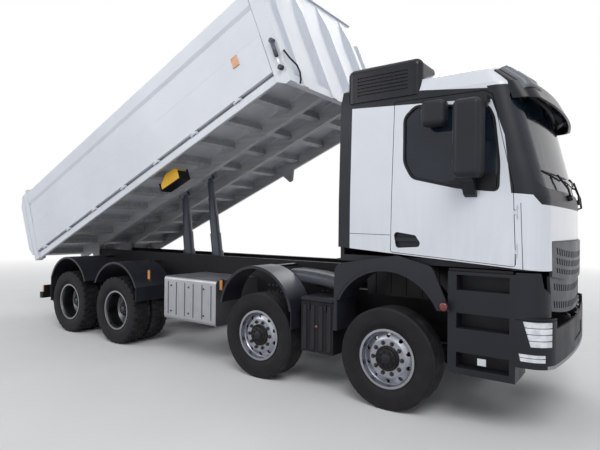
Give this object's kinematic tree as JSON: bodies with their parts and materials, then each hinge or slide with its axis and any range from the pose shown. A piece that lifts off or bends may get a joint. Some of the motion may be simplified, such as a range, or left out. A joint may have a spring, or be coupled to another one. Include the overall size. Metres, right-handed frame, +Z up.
{
  "type": "dump truck",
  "caption": "Cab-over tipper truck with twin steered axles, twin-tyred drive axles and a three-way tipping bed raised on telescopic rams.",
  "frame": {"origin": "ground point under the centre of the bounding box", "axes": "+X forward, +Y to the vehicle's left, +Z up"},
  "size_m": [9.1065, 2.839, 5.1869],
  "materials": {
    "paint_white": "gloss white paint",
    "paint_bed": "gloss white paint over steel plate",
    "paint_chassis": "satin dark paint",
    "ram_steel": "dark blue-grey paint",
    "plastic_dark": "anthracite moulded plastic",
    "alloy": "polished aluminium",
    "alloy_sheet": "satin aluminium sheet",
    "tyre": "black rubber",
    "glass": "clear tinted glass",
    "lamp": "red lamp lens in a dark housing",
    "trim": "dark woven seat cover"
  },
  "bodies": {
    "chassis": {"chassis_frame": "paint_chassis", "subframe": "paint_chassis", "steered_axle_beams": "paint_chassis", "drive_axles": "paint_chassis", "leaf_springs": "paint_chassis", "engine_block": "paint_chassis", "silencer_box": "alloy_sheet", "tanks": "paint_chassis", "fenders": "plastic_dark", "bumper": "plastic_dark", "step_boxes": "plastic_dark", "underrun_bar": "paint_chassis", "lamps": "lamp"},
    "knuckle_1_right": {"knuckle_1_right": "paint_chassis"},
    "knuckle_1_left": {"knuckle_1_left": "paint_chassis"},
    "knuckle_2_right": {"knuckle_2_right": "paint_chassis"},
    "knuckle_2_left": {"knuckle_2_left": "paint_chassis"},
    "wheel_1_right": {"rim_1_right": "alloy", "tyre_1_right": "tyre"},
    "wheel_1_left": {"rim_1_left": "alloy", "tyre_1_left": "tyre"},
    "wheel_2_right": {"rim_2_right": "alloy", "tyre_2_right": "tyre"},
    "wheel_2_left": {"rim_2_left": "alloy", "tyre_2_left": "tyre"},
    "wheel_3_right": {"rim_3_right": "alloy", "tyre_3_right": "tyre"},
    "wheel_3_left": {"rim_3_left": "alloy", "tyre_3_left": "tyre"},
    "wheel_4_right": {"rim_4_right": "alloy", "tyre_4_right": "tyre"},
    "wheel_4_left": {"rim_4_left": "alloy", "tyre_4_left": "tyre"},
    "cab": {"cab_shell": "paint_white", "windscreen": "glass", "lower_grille": "plastic_dark", "upper_grille": "plastic_dark", "roof_air_intake": "plastic_dark", "sun_visor": "plastic_dark", "seats": "trim", "dashboard": "plastic_dark"},
    "door_right": {"door_right": "paint_white", "door_glass_right": "glass", "mirror_right": "plastic_dark"},
    "door_left": {"door_left": "paint_white", "door_glass_left": "glass", "mirror_left": "plastic_dark"},
    "bed": {"bed_tub": "paint_bed"},
    "side_board_right": {"side_board_right": "paint_bed"},
    "side_board_left": {"side_board_left": "paint_bed"},
    "tailgate": {"tailgate": "paint_bed"},
    "ram_front_barrel": {"ram_front_barrel": "ram_steel"},
    "ram_front_stage_1": {"ram_front_stage_1": "ram_steel"},
    "ram_front_stage_2": {"ram_front_stage_2": "ram_steel"},
    "ram_front_stage_3": {"ram_front_stage_3": "ram_steel"},
    "ram_front_stage_4": {"ram_front_stage_4": "ram_steel"},
    "ram_rear_barrel": {"ram_rear_barrel": "ram_steel"},
    "ram_rear_stage_1": {"ram_rear_stage_1": "ram_steel"},
    "ram_rear_stage_2": {"ram_rear_stage_2": "ram_steel"},
    "ram_rear_stage_3": {"ram_rear_stage_3": "ram_steel"}
  },
  "joints": [
    {"name": "steer_1_right", "type": "hinge", "parent": "chassis", "child": "knuckle_1_right", "pos_m": [2.9833, -0.87, 0.512], "axis": [0, 0, 1], "range_deg": [-35, 35]},
    {"name": "steer_1_left", "type": "hinge", "parent": "chassis", "child": "knuckle_1_left", "pos_m": [2.9833, 0.87, 0.512], "axis": [0, 0, 1], "range_deg": [-35, 35]},
    {"name": "steer_2_right", "type": "hinge", "parent": "chassis", "child": "knuckle_2_right", "pos_m": [1.2833, -0.87, 0.512], "axis": [0, 0, 1], "range_deg": [-25, 25]},
    {"name": "steer_2_left", "type": "hinge", "parent": "chassis", "child": "knuckle_2_left", "pos_m": [1.2833, 0.87, 0.512], "axis": [0, 0, 1], "range_deg": [-25, 25]},
    {"name": "wheel_1_right_spin", "type": "hinge", "parent": "knuckle_1_right", "child": "wheel_1_right", "pos_m": [2.9833, -1.02, 0.512], "axis": [0, 1, 0], "continuous": true},
    {"name": "wheel_1_left_spin", "type": "hinge", "parent": "knuckle_1_left", "child": "wheel_1_left", "pos_m": [2.9833, 1.02, 0.512], "axis": [0, 1, 0], "continuous": true},
    {"name": "wheel_2_right_spin", "type": "hinge", "parent": "knuckle_2_right", "child": "wheel_2_right", "pos_m": [1.2833, -1.02, 0.512], "axis": [0, 1, 0], "continuous": true},
    {"name": "wheel_2_left_spin", "type": "hinge", "parent": "knuckle_2_left", "child": "wheel_2_left", "pos_m": [1.2833, 1.02, 0.512], "axis": [0, 1, 0], "continuous": true},
    {"name": "wheel_3_right_spin", "type": "hinge", "parent": "chassis", "child": "wheel_3_right", "pos_m": [-1.5667, -0.9125, 0.512], "axis": [0, 1, 0], "continuous": true},
    {"name": "wheel_3_left_spin", "type": "hinge", "parent": "chassis", "child": "wheel_3_left", "pos_m": [-1.5667, 0.9125, 0.512], "axis": [0, 1, 0], "continuous": true},
    {"name": "wheel_4_right_spin", "type": "hinge", "parent": "chassis", "child": "wheel_4_right", "pos_m": [-2.9167, -0.9125, 0.512], "axis": [0, 1, 0], "continuous": true},
    {"name": "wheel_4_left_spin", "type": "hinge", "parent": "chassis", "child": "wheel_4_left", "pos_m": [-2.9167, 0.9125, 0.512], "axis": [0, 1, 0], "continuous": true},
    {"name": "cab_tilt", "type": "hinge", "parent": "chassis", "child": "cab", "pos_m": [4.4883, 0, 0.995], "axis": [0, 1, 0], "range_deg": [0, 60]},
    {"name": "door_right_swing", "type": "hinge", "parent": "cab", "child": "door_right", "pos_m": [4.2053, -1.138, 1.8], "axis": [0, 0, 1], "range_deg": [0, 70]},
    {"name": "door_left_swing", "type": "hinge", "parent": "cab", "child": "door_left", "pos_m": [4.2053, 1.138, 1.8], "axis": [0, 0, -1], "range_deg": [0, 70]},
    {"name": "bed_tip", "type": "hinge", "parent": "chassis", "child": "bed", "pos_m": [-3.4167, 0, 1.25], "axis": [0, -1, 0], "range_deg": [-22.6, 22.4]},
    {"name": "side_board_right_drop", "type": "hinge", "parent": "bed", "child": "side_board_right", "pos_m": [-3.51354, -1.268, 1.48265], "axis": [0.9232, 0, 0.3843], "range_deg": [0, 170]},
    {"name": "side_board_left_drop", "type": "hinge", "parent": "bed", "child": "side_board_left", "pos_m": [-3.51354, 1.268, 1.48265], "axis": [-0.9232, 0, -0.3843], "range_deg": [0, 170]},
    {"name": "tailgate_swing", "type": "hinge", "parent": "bed", "child": "tailgate", "pos_m": [-4.42783, 0, 2.44304], "axis": [0, 1, 0], "range_deg": [0, 75]},
    {"name": "ram_front_lean", "type": "hinge", "parent": "chassis", "child": "ram_front_barrel", "pos_m": [-0.4817, 0, 0.72], "axis": [0, -1, 0], "range_deg": [-11.27, 11.17]},
    {"name": "ram_front_stage_1_slide", "type": "slide", "parent": "ram_front_barrel", "child": "ram_front_stage_1", "axis": [-0.1527, 0, 0.9883], "range_m": [-0.27734, 0.2749]},
    {"name": "ram_front_stage_2_slide", "type": "slide", "parent": "ram_front_stage_1", "child": "ram_front_stage_2", "axis": [-0.1527, 0, 0.9883], "range_m": [-0.27734, 0.2749]},
    {"name": "ram_front_stage_3_slide", "type": "slide", "parent": "ram_front_stage_2", "child": "ram_front_stage_3", "axis": [-0.1527, 0, 0.9883], "range_m": [-0.27734, 0.2749]},
    {"name": "ram_front_stage_4_slide", "type": "slide", "parent": "ram_front_stage_3", "child": "ram_front_stage_4", "axis": [-0.1527, 0, 0.9883], "range_m": [-0.27734, 0.2749]},
    {"name": "ram_rear_lean", "type": "hinge", "parent": "chassis", "child": "ram_rear_barrel", "pos_m": [-1.1877, 0, 0.72], "axis": [0, -1, 0], "range_deg": [-12.37, 12.26]},
    {"name": "ram_rear_stage_1_slide", "type": "slide", "parent": "ram_rear_barrel", "child": "ram_rear_stage_1", "axis": [-0.1145, 0, 0.9934], "range_m": [-0.28241, 0.27992]},
    {"name": "ram_rear_stage_2_slide", "type": "slide", "parent": "ram_rear_stage_1", "child": "ram_rear_stage_2", "axis": [-0.1145, 0, 0.9934], "range_m": [-0.28241, 0.27992]},
    {"name": "ram_rear_stage_3_slide", "type": "slide", "parent": "ram_rear_stage_2", "child": "ram_rear_stage_3", "axis": [-0.1145, 0, 0.9934], "range_m": [-0.28241, 0.27992]}
  ],
  "couplings": [
    {"joint": "steer_1_left", "follows": "steer_1_right", "ratio": 1},
    {"joint": "steer_2_right", "follows": "steer_1_right", "ratio": 0.7},
    {"joint": "steer_2_left", "follows": "steer_1_right", "ratio": 0.7},
    {"joint": "ram_front_lean", "follows": "bed_tip", "ratio": 0.49642},
    {"joint": "ram_front_stage_1_slide", "follows": "bed_tip", "m_per_rad": 0.70059},
    {"joint": "ram_front_stage_2_slide", "follows": "bed_tip", "m_per_rad": 0.70059},
    {"joint": "ram_front_stage_3_slide", "follows": "bed_tip", "m_per_rad": 0.70059},
    {"joint": "ram_front_stage_4_slide", "follows": "bed_tip", "m_per_rad": 0.70059},
    {"joint": "ram_rear_lean", "follows": "bed_tip", "ratio": 0.54522},
    {"joint": "ram_rear_stage_1_slide", "follows": "bed_tip", "m_per_rad": 0.71344},
    {"joint": "ram_rear_stage_2_slide", "follows": "bed_tip", "m_per_rad": 0.71344},
    {"joint": "ram_rear_stage_3_slide", "follows": "bed_tip", "m_per_rad": 0.71344}
  ]
}
